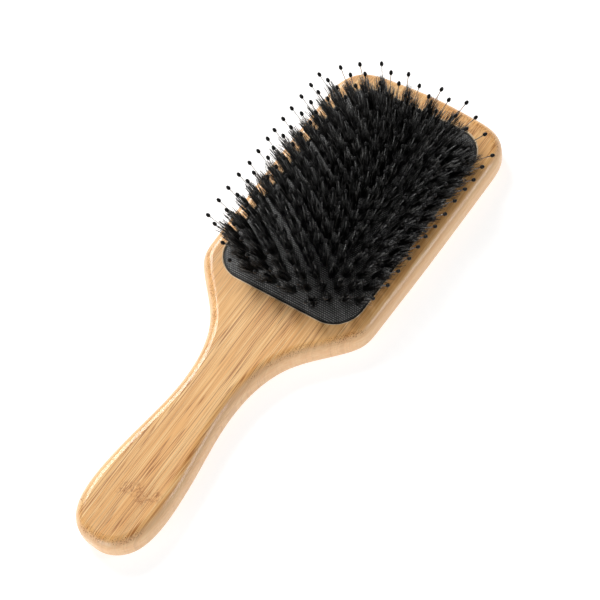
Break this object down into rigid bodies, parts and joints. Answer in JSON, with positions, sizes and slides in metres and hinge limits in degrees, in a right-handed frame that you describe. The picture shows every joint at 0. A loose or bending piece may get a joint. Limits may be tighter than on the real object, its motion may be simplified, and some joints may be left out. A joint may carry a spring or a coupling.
{
  "type": "paddle brush",
  "caption": "Wide square-headed bamboo paddle hair brush with an air cushion, bristle tufts and ball-tipped nylon pins.",
  "frame": {"origin": "middle of the flat back face: half way along the length and half way across the width, on the surface that the brush lies on", "axes": "+Y runs along the paddle from the handle's end to the head, +Z is the way the bristles point, +X is across the head"},
  "size_m": [0.0878, 0.2439, 0.0351],
  "materials": {
    "bamboo": "satin varnish over laminated strips",
    "cushion_rubber": "matte",
    "cushion_cloth": "fine woven mesh",
    "bristle": "glossy black hair",
    "clear_nylon": "clear, polished",
    "black_nylon": "glossy"
  },
  "bodies": {
    "paddle": {"paddle_body": "bamboo"},
    "cushion": {"cushion_membrane": "cushion_rubber", "cushion_facing": "cushion_cloth", "bristle_tufts_column_01": "bristle", "bristle_tufts_column_02": "bristle", "bristle_tufts_column_03": "bristle", "bristle_tufts_column_04": "bristle", "bristle_tufts_column_05": "bristle", "bristle_tufts_column_06": "bristle", "bristle_tufts_column_07": "bristle", "bristle_tufts_column_08": "bristle", "bristle_tufts_column_09": "bristle", "bristle_tufts_column_10": "bristle", "bristle_tufts_column_11": "bristle", "bristle_tufts_column_12": "bristle", "bristle_tufts_column_13": "bristle", "nylon_pins_column_01": "clear_nylon", "nylon_pins_column_02": "clear_nylon", "nylon_pins_column_03": "clear_nylon", "nylon_pins_column_04": "clear_nylon", "nylon_pins_column_05": "clear_nylon", "nylon_pins_column_06": "clear_nylon", "nylon_pins_column_07": "clear_nylon", "nylon_pins_column_08": "clear_nylon", "nylon_pins_column_09": "clear_nylon", "nylon_pins_column_10": "clear_nylon", "nylon_pins_column_11": "clear_nylon", "nylon_pins_column_12": "clear_nylon", "nylon_pins_column_13": "clear_nylon", "ball_tips_column_01": "black_nylon", "ball_tips_column_02": "black_nylon", "ball_tips_column_03": "black_nylon", "ball_tips_column_04": "black_nylon", "ball_tips_column_05": "black_nylon", "ball_tips_column_06": "black_nylon", "ball_tips_column_07": "black_nylon", "ball_tips_column_08": "black_nylon", "ball_tips_column_09": "black_nylon", "ball_tips_column_10": "black_nylon", "ball_tips_column_11": "black_nylon", "ball_tips_column_12": "black_nylon", "ball_tips_column_13": "black_nylon"}
  },
  "joints": [
    {"name": "cushion_press", "type": "slide", "parent": "paddle", "child": "cushion", "axis": [0, 0, -1], "range_m": [0, 0.002], "stiffness_N_per_m": 3000, "deforming": ["cushion_membrane", "cushion_facing"]}
  ]
}
